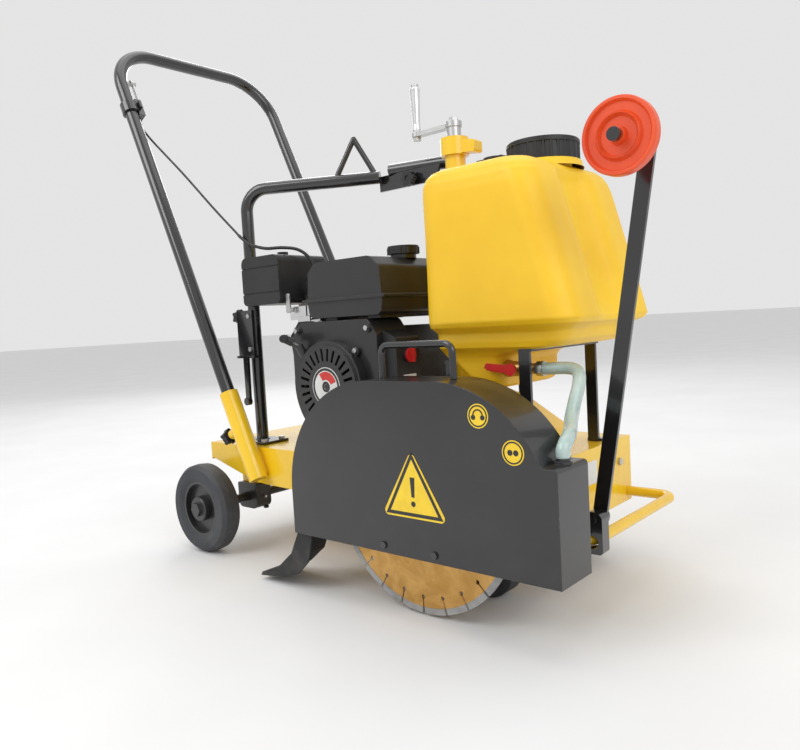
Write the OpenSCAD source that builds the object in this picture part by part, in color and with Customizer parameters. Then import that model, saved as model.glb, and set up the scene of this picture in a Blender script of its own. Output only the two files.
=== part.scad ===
// Walk-behind concrete saw, 350 mm blade class.
// Origin: on the ground, mid-plane, under the rear axle. +X forward, +Y left, +Z up. Millimetres.

/* [Chassis] */
// length of the deck, front to back
deck_length = 775; // [700:5:850]
// width of the deck over the skirts
deck_width = 400; // [340:5:460]
// height of the deck's top face above the ground
deck_top = 222; // [215:1:260]
// sheet thickness of the deck
sheet = 4; // [3:1:6]
// radius of the bumper tube
bumper_r = 9; // [7:1:14]

/* [Wheels] */
// rear wheel diameter
rear_wheel_d = 185; // [160:5:200]
// rear tyre width
rear_wheel_w = 44; // [30:2:60]
// front wheel diameter
front_wheel_d = 100; // [80:5:110]
// front tyre width
front_wheel_w = 36; // [24:2:40]

/* [Blade and guard] */
// blade diameter
blade_d = 350; // [300:10:350]
// number of diamond segments
segments = 24; // [18:1:30]
// spindle radius
shaft_r = 12.5; // [10:0.5:15]
// height of the guard's lower edge above the ground
guard_low = 105; // [95:1:125]
// width of the guard box
guard_width = 83; // [70:1:95]

/* [Handlebar] */
// outside radius of the handlebar tube
handle_r = 14; // [12:0.5:17]
// lean of the handlebar legs from upright, degrees
handle_lean = 24.7; // [15:0.1:35]
// length of a leg above its socket
handle_reach = 870; // [700:10:950]
// bend radius of the handlebar corners
handle_bend = 110; // [60:5:140]

/* [Water tank] */
// width of the tank
tank_width = 310; // [260:5:340]
// height of the tank's top face
tank_top = 705; // [660:5:740]
// radius of the filler cap
cap_r = 63; // [50:1:66]

/* [Depth crank] */
// throw of the crank arm
crank_throw = 87; // [70:1:88]
// length of the crank grip
grip_length = 84; // [60:1:110]

/* [Pointer] */
// distance from the pointer pivot to the pointer wheel
pointer_length = 535; // [450:5:620]
// radius of the pointer wheel
pointer_wheel_r = 50; // [45:1:75]

/* [Hidden] */
$fn = 48;
fit = 0.06;
gap = 0.3;
YELLOW = "gold";
BLACK = [0.1, 0.1, 0.11];
STEEL = [0.7, 0.7, 0.72];

// chassis
deck_back = -35;
deck_front = deck_back + deck_length;
side = deck_width / 2;
deck_under = deck_top - sheet;
skirt_low = 147;
front_low = 100;

// wheels
rear_r = rear_wheel_d / 2;
rear_axle_r = 10;
rear_y = side + 46;
front_r = front_wheel_d / 2;
front_axle_r = 8;
front_x = 640;
front_y = 112;

// carriage that carries the front wheels
pivot = [330, 150];
pivot_r = 8;
arm_y = 46;
arm_t = 8;
bar = [512, 86];
bar_r = 8;
lug_t = 8;

// blade spindle and guard, guard faces at y = -guard_out and -guard_in
spindle = [600, 179];
blade_r = blade_d / 2;
boss_r = 40;
boss_bore = 20;
guard_in = side + 20;
guard_out = guard_in + guard_width;
guard_wall = 3;
guard_back_t = 4;
guard_x0 = spindle[0] - 250;
guard_x1 = spindle[0] + 260;
guard_top = spindle[1] + blade_r + 18;
guard_corner = 190;
guard_box_x = spindle[0] + 228;
guard_box_top = spindle[1] + 83;
inlet_x = guard_x1 - 7;
blade_y = -side - 62;
core_t = 2.6;
segment_t = 3.4;
segment_h = 10;
flange_r = 45;

// drive
motor = [339, 348];
motor_pulley_r = 40;
blade_pulley_r = 50;
groove_depth = 10;
groove_w = 12;
groove_y = [80, 98];
pulley_y0 = 70;
pulley_w = 38;
belt_w = 11;
cover_y0 = 61;
cover_y1 = 128;

// handlebar: local frame has its z axis up along the legs, its origin at the socket mouth
mouth = [70, 334];
leg_y = side + 20;
socket_len = 190;
socket_r = handle_r + 5;
leg_in = 160;
knob_s = -80;
clamp_z = 700;

// lifting frame
post = [82, -150];
tube_r = 12.5;
joint_x = 345;
arch_angle = atan2(-post[1], joint_x - post[0]);
arch_len = norm([joint_x - post[0], post[1]]);
arch_z = 748;
post2 = [500, 40];
arm2_angle = atan2(post2[1], post2[0] - joint_x);
arm2_len = norm([post2[0] - joint_x, post2[1]]);

// depth screw
screw = [512, 0];
screw_r = 8;
rod_r = 14.9;
column_bore = 15;
column_r = 19;
housing_top = 788;
arm_z = 808;

// tank
tank_back = 533;
neck = [672, 38];
neck_r = 55;
boss = [628, -42];
tank_half = tank_width / 2;
valve = [655, -85, 372];

// pointer
point_pivot = [827, -110, 152];
point_lean = 9.8;

// starter pull direction
pull = [-0.62, -0.62, 0.48];
grip_at = [256, -201, 432];

// routes of the cable and the hose, hand-chosen
CABLE = [[-218.1, -198, 938.6], [-213, -197.5, 927.5], [-180, -194, 893], [-90, -182, 808], [0, -174, 722],
  [60, -169.5, 668], [84, -168.5, 648], [110, -164, 632], [145, -158, 622], [182, -148, 620],
  [212, -134, 614], [230, -122, 598], [238, -113, 572], [240, -110, 550], [240, -110, 532.4]];
HOSE = [[740.6, -85, 372], [762, -86, 373], [782, -92, 372], [798, -105, 366], [808, -126, 350],
  [814, -152, 328], [824, -182, 310], [838, -212, 300], [849, -238, 295], [853, -254, 289],
  [853, -262, 280], [853, -262, 270.3]];

function unit(v) = v / norm(v);
function tangent_len(a, b, c, r) = r / tan(acos(min(1, max(-1, unit(a - b) * unit(c - b)))) / 2);
function corner_at(p, i) = [p[(i + len(p) - 1) % len(p)], p[i], p[(i + 1) % len(p)]];
function trims(p, r) = [for (i = [0 : len(p) - 1]) let (k = corner_at(p, i))
  r[i] == 0 ? [k[1]]
  : let (t = tangent_len(k[0], k[1], k[2], r[i]))
    [k[1] + unit(k[0] - k[1]) * t, k[1] + unit(k[2] - k[1]) * t]];
function flat(l) = [for (a = l) for (b = a) b];
function centre_of(k, r) = let (d = unit(unit(k[0] - k[1]) + unit(k[2] - k[1])),
  h = acos(unit(k[0] - k[1]) * unit(k[2] - k[1])) / 2) k[1] + d * (r / sin(h));

// polygon whose convex corners are true arcs
module rounded(p, r) {
  polygon(flat(trims(p, r)));
  for (i = [0 : len(p) - 1]) if (r[i] > 0) translate(centre_of(corner_at(p, i), r[i])) circle(r[i]);
}

// plate drawn in x, z and given a range in y
module side_plate(y0, y1) {
  translate([0, y1, 0]) rotate([90, 0, 0]) linear_extrude(y1 - y0) children();
}

// round bar along y
module cross_bar(x, z, r, y0, y1) {
  translate([x, y1, z]) rotate([90, 0, 0]) cylinder(h = y1 - y0, r = r);
}

module box(a, b) {
  translate(a) cube(b - a);
}

// straight round bar between two points
module bar_between(a, b, r) {
  d = b - a;
  translate(a) rotate([0, acos(d[2] / norm(d)), atan2(d[1], d[0])]) cylinder(h = norm(d), r = r);
}

// bent round bar through flat points, all corners with one bend radius
module bent(p, bend, r) {
  n = len(p);
  t = [for (i = [0 : n - 1]) i == 0 || i == n - 1 ? 0 : bend * tan(abs(turn_at(p, i)) / 2)];
  for (i = [0 : n - 2]) {
    d = unit(p[i + 1] - p[i]);
    a = p[i] + d * t[i];
    b = p[i + 1] - d * t[i + 1];
    bar_between([a[0], a[1], 0], [b[0], b[1], 0], r);
  }
  for (i = [1 : n - 2]) {
    d = unit(p[i] - p[i - 1]);
    w = turn_at(p, i);
    c = p[i] - d * t[i] + [-d[1], d[0]] * bend * sign(w);
    start = atan2(d[1], d[0]) + (w > 0 ? -90 : 90 + w);
    translate([c[0], c[1], 0]) rotate([0, 0, start])
      rotate_extrude(angle = abs(w)) translate([bend, 0]) circle(r);
  }
}
function turn_at(p, i) = let (a = p[i] - p[i - 1], b = p[i + 1] - p[i])
  atan2(a[0] * b[1] - a[1] * b[0], a * b);

// rings of a swept cord and its closed skin
function frame_dir(p, i) = unit(p[min(i + 1, len(p) - 1)] - p[max(i - 1, 0)]);
function ring_of(p, i, r, n) =
  let (d = frame_dir(p, i), u = unit(cross(d, [0.31, 0.95, 0.05])), v = cross(d, u))
  [for (k = [0 : n - 1]) p[i] + r * (cos(360 * k / n) * u + sin(360 * k / n) * v)];
module cord(p, r, n) {
  m = len(p);
  walls = [for (i = [0 : m - 2]) for (k = [0 : n - 1])
    [i * n + k, i * n + (k + 1) % n, (i + 1) * n + (k + 1) % n, (i + 1) * n + k]];
  tris = [for (q = walls) each [[q[0], q[1], q[2]], [q[0], q[2], q[3]]]];
  ends = [[for (k = [n - 1 : -1 : 0]) k], [for (k = [0 : n - 1]) (m - 1) * n + k]];
  polyhedron(points = flat([for (i = [0 : m - 1]) ring_of(p, i, r, n)]), faces = concat(tris, ends));
}

// star-headed clamping knob, stud along -z from the origin, head above
module star_knob(r, stud_r, stud_len, lobes) {
  difference() {
    union() {
      cylinder(h = 13, r = r * 0.8);
      for (i = [0 : lobes - 1])
        rotate([0, 0, 360 * i / lobes]) translate([r * 0.76, 0, 0]) cylinder(h = 13, r = r * 0.24);
    }
    translate([0, 0, 11]) cylinder(h = 3, r = r * 0.4);
  }
  translate([0, 0, -stud_len]) cylinder(h = stud_len, r = stud_r);
  translate([0, 0, -5]) cylinder(h = 5, r = r * 0.5);
}

module hex_bolt(p, axis, r, h) {
  translate(p) rotate(axis) cylinder(h = h, r = r, $fn = 6);
}

module in_handle(y) {
  translate([mouth[0], y, mouth[1]]) rotate([0, -handle_lean, 0]) children();
}

module deck() {
  color(YELLOW) difference() {
    union() {
      box([deck_back, -side, deck_under], [deck_front, side, deck_top]);
      for (y = [-side, side - sheet]) side_plate(y, y + sheet)
        polygon([[deck_back, deck_top], [deck_front, deck_top], [deck_front, front_low + 32],
          [150, skirt_low], [110, skirt_low + 3], [deck_back, skirt_low + 43]]);
      box([deck_front - sheet, -side, front_low], [deck_front, side, deck_top]);
      box([deck_back, -side, skirt_low + 38], [deck_back + sheet, side, deck_top]);
      // legs that carry the rear axle housings
      for (y = [-120, 120]) box([-28, y - 8, rear_r + 30], [28, y + 8, deck_under]);
      // lugs that carry the front carriage
      for (y = [-60, 60]) side_plate(y - lug_t / 2, y + lug_t / 2)
        polygon([[300, deck_under], [360, deck_under], [350, pivot[1] - 18], [310, pivot[1] - 18]]);
      box([200, -side, skirt_low + 30], [206, side, deck_under]);
      box([430, -side, skirt_low + 50], [436, side, deck_under]);
    }
    // belt slot, screw hole, spindle hole, carriage pivot holes
    box([390, 58, deck_under - 60], [660, 118, deck_top + 1]);
    translate([screw[0], screw[1], deck_under - 1]) cylinder(h = sheet + 2, r = 22);
    cross_bar(spindle[0], spindle[1], 24, -side - 1, -side + sheet + 1);
    cross_bar(pivot[0], pivot[1], pivot_r + fit, -80, 80);
  }
}

module handle_sockets() {
  color(YELLOW) for (s = [-1, 1]) difference() {
    union() {
      in_handle(s * leg_y) translate([0, 0, -socket_len]) cylinder(h = socket_len, r = socket_r);
      // weld pad against the skirt
      intersection() {
        in_handle(s * leg_y) box([-7, s > 0 ? -20 : 8, -socket_len + 4], [7, s > 0 ? -8 : 20, -124]);
        box([0, -side - 40, 150], [220, side + 40, deck_top]);
      }
      in_handle(s * leg_y) translate([-34, 0, knob_s]) rotate([0, 90, 0]) cylinder(h = 20, r = 10);
    }
    in_handle(s * leg_y) translate([0, 0, -socket_len - 1]) cylinder(h = socket_len + 2,
        r = handle_r + fit);
    in_handle(s * leg_y) translate([-35, 0, knob_s]) rotate([0, 90, 0]) cylinder(h = 25, r = 5 + fit);
  }
}

module axle_housings() {
  color(BLACK) for (y = [-120, 120]) difference() {
    union() {
      side_plate(y - 20, y + 20)
        rounded([[-32, rear_r - 26], [32, rear_r - 26], [32, rear_r + 30], [-32, rear_r + 30]],
          [14, 14, 4, 4]);
      for (x = [-20, 20]) hex_bolt([x, y + 14, rear_r - 26], [180, 0, 0], 6, 5);
    }
    cross_bar(0, rear_r, rear_axle_r + fit, y - 21, y + 21);
  }
}

module front_bumper() {
  z = front_low + 18;
  color(YELLOW) translate([0, 0, z])
    bent([[deck_front, side - 15], [825, side - 15], [825, -125], [deck_front, -125]], 24, bumper_r);
}

module lifting_frame() {
  color(BLACK) {
    translate([post[0], post[1], 0]) rotate([0, 0, arch_angle]) rotate([90, 0, 0])
        bent([[0, deck_top + 6], [0, arch_z], [arch_len - 16, arch_z]], 45, tube_r);
    box([post[0] - 45, post[1] - 32, deck_top], [post[0] + 45, post[1] + 32, deck_top + 6]);
    translate([joint_x, 0, 0]) rotate([0, 0, arm2_angle]) rotate([90, 0, 0])
      bent([[6, arch_z + 10], [arm2_len, arch_z + 10], [arm2_len, deck_top + 6]], 40, tube_r);
    box([post2[0] - 22, post2[1] - 13, deck_top], [post2[0] + 20, post2[1] + 20, deck_top + 6]);
    // joint plate below the tubes
    difference() {
      box([joint_x - 20, -3, arch_z - 28], [joint_x + 128, 3, arch_z + 2]);
      cross_bar(412, arch_z - 17, 4 + fit, -5, 5);
    }
    // lifting eye
    translate([post[0], post[1], 0]) rotate([0, 0, arch_angle]) rotate([90, 0, 0]) {
      for (u = [-110, -22]) bar_between([arch_len + u, arch_z, 0], [arch_len - 66, arch_z + 80, 0], 5.5);
      translate([arch_len - 66, arch_z + 80, 0]) sphere(5.5);
    }
  }
}

module screw_column() {
  color(YELLOW) difference() {
    union() {
      box([screw[0] - 38, -28, deck_top], [screw[0] + 18, 28 - 2, deck_top + 6]);
      translate([screw[0], 0, deck_top + 6]) cylinder(h = housing_top - 30 - deck_top - 6, r = column_r);
      translate([screw[0], 0, housing_top - 32]) cylinder(h = 32, r = 26);
      side_plate(-12, 12) rounded([[screw[0] + 4, housing_top - 28], [screw[0] + 52, housing_top - 34],
        [screw[0] + 52, housing_top - 12], [screw[0] + 4, housing_top - 4]], [0, 5, 5, 0]);
    }
    translate([screw[0], 0, deck_top - 1]) cylinder(h = housing_top - 36 - deck_top, r = column_bore);
    translate([screw[0], 0, deck_top]) cylinder(h = housing_top, r = screw_r + fit);
  }
}

module tank_stand() {
  color(BLACK) {
    for (y = [-116, 110]) box([700, y, deck_top], [720, y + 6, 401]);
    for (y = [-132, 116]) box([696, y, deck_top], [724, y + 16, deck_top + 5]);
    box([700, -116, 401], [724, 116, 407]);
    box([540, -98, deck_top], [558, -92, 381]);
    box([536, -116, deck_top], [562, -98, deck_top + 5]);
    box([540, 137, deck_top], [558, 143, 381]);
    box([536, 143, deck_top], [562, 160, deck_top + 5]);
    box([538, -98, 381], [560, 143, 387]);
  }
}

// tank outline layers: x, z outline, corner radii, half width
module tank_layers(w) {
  side_plate(-tank_half + w, tank_half - w)
    rounded([[tank_back + w, 442 + w], [815 - w * 1.3, 442 + w], [745 - w * 1.3, tank_top - w],
      [tank_back + w, tank_top - w]], [12, 10, 34, 40]);
  side_plate(-125 + w, 125 - w)
    rounded([[tank_back + w, 400 + w], [700, 407 + w], [770, 407 + w], [796 - w, 452 + w],
      [796 - w, 460], [tank_back + w, 460]], [0, 0, 8, 0, 0, 0]);
  side_plate(-100 + w, 100 - w)
    polygon([[tank_back + w, 387 + w], [562 + w / 2, 387 + w], [603, 339 + w], [655 - w, 339 + w],
      [655 - w, 420], [tank_back + w, 420]]);
}

// the valley between the two front shoulders
module tank_valley(r) {
  translate([800, 0, 560]) rotate([0, -15.2, 0]) translate([58, 0, -100]) cylinder(h = 300, r = r);
}

module water_tank() {
  color("orange") difference() {
    union() {
      tank_layers(0);
      translate([neck[0], neck[1], tank_top - 8]) cylinder(h = 18, r = neck_r + 11);
      translate([neck[0], neck[1], tank_top]) cylinder(h = 36, r = neck_r);
      translate([boss[0], boss[1], tank_top - 6]) cylinder(h = 23, r = 18);
    }
    difference() {
      tank_layers(5);
      tank_valley(86);
    }
    tank_valley(80);
    translate([neck[0], neck[1], tank_top - 30]) cylinder(h = 80, r = neck_r - 5);
    translate([valve[0] - 10, valve[1], valve[2]]) rotate([0, 90, 0]) cylinder(h = 20, r = 8);
  }
}

module tank_strap() {
  z = tank_top + 17;
  color(BLACK) {
    translate([boss[0], boss[1], z]) cylinder(h = 4, r = 22);
    box([boss[0] - 34, boss[1] - 10, z], [boss[0], boss[1] + 10, z + 4]);
    for (d = [[-12, 0], [12, -4], [0, 12]])
      translate([boss[0] + d[0], boss[1] + d[1], z + 4]) cylinder(h = 2.5, r = 3.2);
  }
}

module outlet_valve() {
  color("goldenrod") difference() {
    union() {
      translate([valve[0] - 8, valve[1], valve[2]]) rotate([0, 90, 0]) cylinder(h = 30, r = 8);
      translate([valve[0] + 2, valve[1], valve[2]]) rotate([0, 90, 0]) cylinder(h = 12, r = 14, $fn = 6);
      translate([valve[0] + 14, valve[1], valve[2]]) rotate([0, 90, 0]) cylinder(h = 24, r = 12.5);
      translate([valve[0] + 50, valve[1], valve[2]]) rotate([0, 90, 0]) cylinder(h = 8, r = 9);
      translate([valve[0] + 38, valve[1], valve[2]]) rotate([0, 90, 0]) cylinder(h = 12, r = 14, $fn = 6);
      translate([valve[0] + 58, valve[1], valve[2]]) rotate([0, 90, 0]) cylinder(h = 27, r = 7.5);
      cross_bar(valve[0] + 25, valve[2], 5, valve[1] - 22, valve[1]);
    }
    translate([valve[0] - 9, valve[1], valve[2]]) rotate([0, 90, 0]) cylinder(h = 100, r = 5);
  }
}

cover_outline = [[268, deck_top], [268, 400], [300, 424], [372, 424], [425, 398], [480, 330], [566, 300],
  [652, 246], [668, deck_top]];
cover_inside = [[271, deck_top - 1], [271, 398], [302, 421], [370, 421], [423, 396], [478, 327], [565, 297],
  [649, 244], [664, deck_top - 1]];
module belt_guard() {
  color(YELLOW) difference() {
    side_plate(cover_y0, cover_y1) polygon(cover_outline);
    side_plate(cover_y0 + 3, cover_y1 - 3) polygon(cover_inside);
    cross_bar(motor[0], motor[1], 46, cover_y0 - 1, cover_y0 + 4);
    box([spindle[0] - 52, cover_y0 - 1, deck_top - 1], [spindle[0] + 52, cover_y0 + 4, deck_top + 12]);
  }
}

// outline of a belt run round two wheels, in fine steps
function arc_points(c, r, a0, a1) = [for (i = [0 : 30]) let (a = a0 + (a1 - a0) * i / 30)
    c + r * [cos(a), sin(a)]];
module belt_run(r1, r2) {
  d = spindle - motor;
  a = atan2(d[1], d[0]);
  b = acos((r1 - r2) / norm(d));
  polygon(concat(arc_points(motor, r1, a + b, a - b + 360), arc_points(spindle, r2, a - b, a + b)));
}
module drive_belts() {
  color(BLACK) for (y = groove_y) side_plate(y - belt_w / 2, y + belt_w / 2) difference() {
    belt_run(motor_pulley_r - 1, blade_pulley_r - 1);
    belt_run(motor_pulley_r - groove_depth + gap, blade_pulley_r - groove_depth + gap);
  }
}

module pulley(c, r) {
  translate([c[0], pulley_y0 + pulley_w, c[1]]) rotate([90, 0, 0]) difference() {
    cylinder(h = pulley_w, r = r);
    for (y = groove_y) translate([0, 0, pulley_y0 + pulley_w - y - groove_w / 2]) difference() {
      cylinder(h = groove_w, r = r + 1);
      translate([0, 0, -1]) cylinder(h = groove_w + 2, r = r - groove_depth);
    }
  }
}

module engine_block() {
  color([0.16, 0.16, 0.17]) difference() {
    union() {
      for (y = [-78, 28]) box([205, y, deck_top], [475, y + 30, deck_top + 12]);
      box([222, -85, deck_top + 12], [458, 60, deck_top + 26]);
      side_plate(-90, 55) rounded([[238, deck_top + 20], [440, deck_top + 20], [452, 400], [400, 452],
        [250, 452], [228, 380]], [16, 16, 20, 20, 0, 0]);
      cross_bar(motor[0], motor[1], 78, 55, 60);
      for (x = [262, 410]) translate([x, -70, deck_top + 46]) rotate([62, 0, 0]) cylinder(h = 12, r = 11);
      // cooling fins of the leaning cylinder
      for (i = [0 : 5])
        translate([230 - i * 11, -10, 392 + i * 4.6]) rotate([0, 67, 0]) cube([70, 110, 4], center = true);
    }
    cross_bar(motor[0], motor[1], shaft_r + fit, 20, 62);
  }
}

module cylinder_shroud() {
  color(BLACK) difference() {
    side_plate(-90, 52) rounded([[132, 382], [226, 342], [226, 470], [158, 478], [122, 440]], [8, 0, 0,
        10, 10]);
    side_plate(-70, 60) polygon([[146, 378], [230, 343], [230, 462], [163, 468], [136, 436]]);
    box([125, 30, 330], [230, 60, 360]);
  }
}

module fan_cover() {
  color(BLACK) difference() {
    union() {
      cross_bar(motor[0], motor[1], 112, -175, -90);
      side_plate(-175, -90) rounded([[228, motor[1]], [451, motor[1]], [451, 440], [432, 468],
        [250, 468], [228, 440]], [0, 0, 14, 14, 14, 14]);
      for (x = [246, 432]) cross_bar(x, 452, 8, -179, -175);
    }
    cross_bar(motor[0], motor[1], 70, -176, -104);
  }
}

module recoil_cover() {
  color(BLACK) difference() {
    union() {
      cross_bar(motor[0], motor[1], 84, -193, -175);
      cross_bar(motor[0], motor[1], 76, -197, -193);
      for (i = [0 : 3]) rotate_about(i * 90 + 45) cross_bar(motor[0] + 88, motor[1], 9, -181, -175);
      bar_between([270, -184, 404], grip_at - 14 * unit(pull), 8);
    }
    cross_bar(motor[0], motor[1], 64, -190, -174);
    for (i = [0 : 25]) rotate_about(i * 360 / 26)
      box([motor[0] + 47, -198, motor[1] - 2.6], [motor[0] + 70, -189, motor[1] + 2.6]);
    bar_between([270, -184, 404] + 4 * unit(pull), grip_at, 2.6);
  }
}
module rotate_about(a) {
  translate([motor[0], 0, motor[1]]) rotate([0, a, 0]) translate([-motor[0], 0, -motor[1]]) children();
}

module fuel_tank() {
  color(BLACK) difference() {
    union() {
      side_plate(-172, 60) rounded([[280, 474], [462, 474], [466, 500], [462, 560], [440, 578],
        [300, 578], [280, 560], [276, 500]], [14, 14, 0, 10, 16, 16, 10, 0]);
      side_plate(-178, 66) rounded([[266, 504], [476, 504], [476, 510], [266, 510]], [2, 2, 2, 2]);
      translate([425, -60, 576]) cylinder(h = 8, r = 24);
      box([300, -150, 468], [330, 40, 474]);
      box([410, -150, 468], [440, 40, 474]);
    }
    side_plate(-168, 56) polygon([[284, 480], [458, 480], [460, 556], [438, 572], [302, 572], [284, 556]]);
    translate([425, -60, 560]) cylinder(h = 30, r = 18);
  }
}

module air_cleaner() {
  color(BLACK) {
    difference() {
      side_plate(-188, -62) rounded([[100, 508], [214, 508], [214, 604], [100, 604]], [10, 10, 14, 14]);
      box([96, -189.5, 530], [218, -186, 533]);
      box([96, -189.5, 580], [218, -186, 583]);
    }
    translate([157, -125, 604]) cylinder(h = 10, r = 11);
    translate([214, -110, 530]) rotate([0, 90, 0]) cylinder(h = 14, r = 20);
  }
}

module carburettor() {
  color(STEEL) {
    translate([240, -110, 500]) cylinder(h = 32, r = 12);
    box([228, -132, 470], [264, -92, 502]);
    translate([246, -112, 468]) cylinder(h = 4, r = 15);
    // governor links across the fan cover's top edge
    box([240, -168, 470], [274, -165, 480]);
    bar_between([262, -166, 478], [262, -128, 486], 2.5);
    bar_between([270, -166, 474], [262, -125, 476], 2);
    box([216, -166, 474], [262, -163, 500]);
  }
}

module muffler() {
  color([0.45, 0.44, 0.43]) difference() {
    union() {
      side_plate(-45, 84) rounded([[104, 478], [222, 492], [222, 560], [104, 560]], [12, 10, 18, 18]);
      cross_bar(140, 520, 13, 84, 112);
      for (i = [0 : 4]) box([118 + i * 20, -40, 560], [126 + i * 20, 78, 563]);
    }
    cross_bar(140, 520, 10.5, 60, 113);
  }
}

module switch_box() {
  color(BLACK) {
    side_plate(-160, -96) rounded([[451, 330], [478, 330], [482, 350], [482, 432], [451, 446]], [0, 6,
        0, 8, 0]);
    translate([482, -128, 400]) rotate([0, 90, 0]) cylinder(h = 3, r = 15);
  }
}

module control_bracket() {
  x = post[0];
  color(BLACK) difference() {
    union() {
      box([x - 23, -178, 405], [x + 27, -173, 500]);
      box([x - 23, -178, 405], [x - 18, -140, 500]);
      box([x - 23, -184, 402], [x + 33, -164, 407]);
      box([x - 7, -175, 440], [x + 7, -160, 470]);
      side_plate(-184, -178) rounded([[x - 3, 305], [x + 9, 305], [x + 11, 402], [x - 3, 402]], [5, 5,
          0, 0]);
      cross_bar(x + 3, 312, 8, -188, -178);
    }
    translate([x, post[1], 400]) cylinder(h = 110, r = tube_r);
    translate([x - 25, -160, 488]) rotate([0, 90, 0]) cylinder(h = 10, r = 4 + fit);
  }
}

module bearing_blocks() {
  color(BLACK) {
    for (y = [-185, 15]) difference() {
      union() {
        cross_bar(spindle[0], spindle[1], 32, y, y + 28);
        box([spindle[0] - 55, y, deck_under - 14], [spindle[0] + 55, y + 28, deck_under]);
      }
      cross_bar(spindle[0], spindle[1], shaft_r + fit, y - 1, y + 29);
      box([spindle[0] - 60, y - 1, deck_under], [spindle[0] + 60, y + 29, deck_top + 20]);
    }
    // boss the guard turns on, with its retaining ring
    difference() {
      union() {
        cross_bar(spindle[0], spindle[1], boss_r, -guard_in - 8, -side);
        cross_bar(spindle[0], spindle[1], 54, -side - 5, -side);
        cross_bar(spindle[0], spindle[1], 49, -guard_in - 8, -guard_in - guard_back_t - gap);
      }
      cross_bar(spindle[0], spindle[1], boss_bore, -guard_in - 9, -side + 1);
    }
  }
}

module pointer_bracket() {
  p = point_pivot;
  color(BLACK) difference() {
    union() {
      side_plate(-136, -114) rounded([[810, 100], [842, 100], [842, 164], [812, 164]], [6, 6, 12, 12]);
      cross_bar(820, 132, 4, -140, -114);
    }
    translate([825, -125, front_low + 18]) rotate([0, 0, 0]) cross_bar(0, 0, bumper_r + 1, -40, 200);
    box([700, -138, front_low + 17 - bumper_r], [826, -112, front_low + 19 + bumper_r]);
    cross_bar(p[0], p[2], 6 + fit, -140, -100);
  }
}

module fasteners() {
  color(STEEL) {
    for (y = [-171, 29]) for (x = [-42, 42]) hex_bolt([spindle[0] + x, y, deck_top], [0, 0, 0], 9, 7);
    for (y = [-63, 43]) for (x = [214, 466]) hex_bolt([x, y, deck_top + 12], [0, 0, 0], 8, 7);
    for (y = [-126, 124]) hex_bolt([710, y, deck_top + 5], [0, 0, 0], 6.5, 5);
    for (x = [post[0] - 34, post[0] + 34]) for (y = [-173, -127]) hex_bolt([x, y, deck_top + 6], [0, 0,
        0], 6.5, 5);
    for (x = [290, 640]) hex_bolt([x, cover_y1, x < 400 ? 390 : 234], [-90, 0, 0], 6, 4);
    for (a = [0, 1, 3]) rotate_about(a * 90 + 45) hex_bolt([motor[0] + 91, -181, motor[1]], [90, 0, 0], 5, 4);
    for (x = [246, 432]) hex_bolt([x, -179, 452], [90, 0, 0], 5, 4);
    for (z = [342, 420]) hex_bolt([482, -150, z], [0, 90, 0], 4, 3);
    for (z = [420, 488]) hex_bolt([post[0] + 18, -178, z], [90, 0, 0], 5, 4);
    for (y = [-120, 120]) translate([32, y, rear_r]) rotate([0, 90, 0]) cylinder(h = 8, r = 3);
    for (y = [-160, 150]) hex_bolt([deck_front, y, 180], [0, 90, 0], 7, 5);
    // worm-drive clip on the upper end of the hose
    translate([valve[0] + 62, valve[1], valve[2]]) rotate([0, 90, 0]) difference() {
      cylinder(h = 12, r = 12);
      translate([0, 0, -1]) cylinder(h = 14, r = 7.5);
    }
    box([valve[0] + 64, valve[1] - 18, valve[2] - 6], [valve[0] + 72, valve[1] - 11, valve[2] + 6]);
  }
}

module labels() {
  color("white") {
    difference() {
      cross_bar(motor[0], motor[1], 36, -197.8, -197);
      cross_bar(motor[0], motor[1], 5, -198, -196);
    }
    box([482, -144, 340], [482.5, -110, 366]);
    box([500, cover_y1, 240], [590, cover_y1 + 0.5, 272]);
    box([deck_front, -60, 160], [deck_front + 0.5, 60, 200]);
  }
}

module handlebar() {
  color(BLACK) in_handle(0) rotate([90, 0, 90]) difference() {
    u_path = [[-leg_y, -leg_in], [-leg_y, handle_reach], [leg_y, handle_reach], [leg_y, -leg_in]];
    bent(u_path, handle_bend, handle_r);
    bent(u_path + [[0, -1], [0, 0], [0, 0], [0, -1]], handle_bend, handle_r - 2.5);
  }
}

module throttle_bracket() {
  color(BLACK) in_handle(-leg_y) {
    difference() {
      union() {
        translate([0, 0, clamp_z - 12]) cylinder(h = 24, r = handle_r + 5);
        box([-12, 12, clamp_z - 20], [12, 27, clamp_z + 22]);
        box([10, 12, clamp_z - 8], [24, 18, clamp_z + 8]);
      }
      translate([0, 0, clamp_z - 30]) cylinder(h = 60, r = handle_r);
      translate([0, 12, clamp_z + 8]) rotate([-90, 0, 0]) cylinder(h = 30, r = 3 + fit);
    }
    translate([-9, 22, clamp_z - 30]) cylinder(h = 10, r = 4);
  }
}

module throttle_lever() {
  color(STEEL) in_handle(-leg_y) {
    translate([0, 20, clamp_z + 8]) rotate([-90, 0, 0]) cylinder(h = 14, r = 3);
    translate([0, 27.5, clamp_z + 8]) rotate([-90, 0, 0]) cylinder(h = 3, r = 9);
    box([-4, 27.5, clamp_z + 8], [4, 30.5, clamp_z + 74]);
    translate([0, 23, clamp_z + 76]) rotate([-90, 0, 0]) cylinder(h = 12, r = 7);
  }
}

module throttle_cable() {
  color(BLACK) cord(CABLE, 3, 8);
}

module socket_knob(s) {
  color(BLACK) in_handle(s * leg_y) translate([-40, 0, knob_s]) rotate([0, -90, 0])
    star_knob(17, 5, 40 - handle_r - gap, 5);
}
module socket_knob_near() { socket_knob(-1); }
module socket_knob_far() { socket_knob(1); }

module frame_knob() {
  color(BLACK) translate([post[0] - 29, -160, 488]) rotate([0, -90, 0]) star_knob(16, 4, 14, 6);
}

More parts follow.
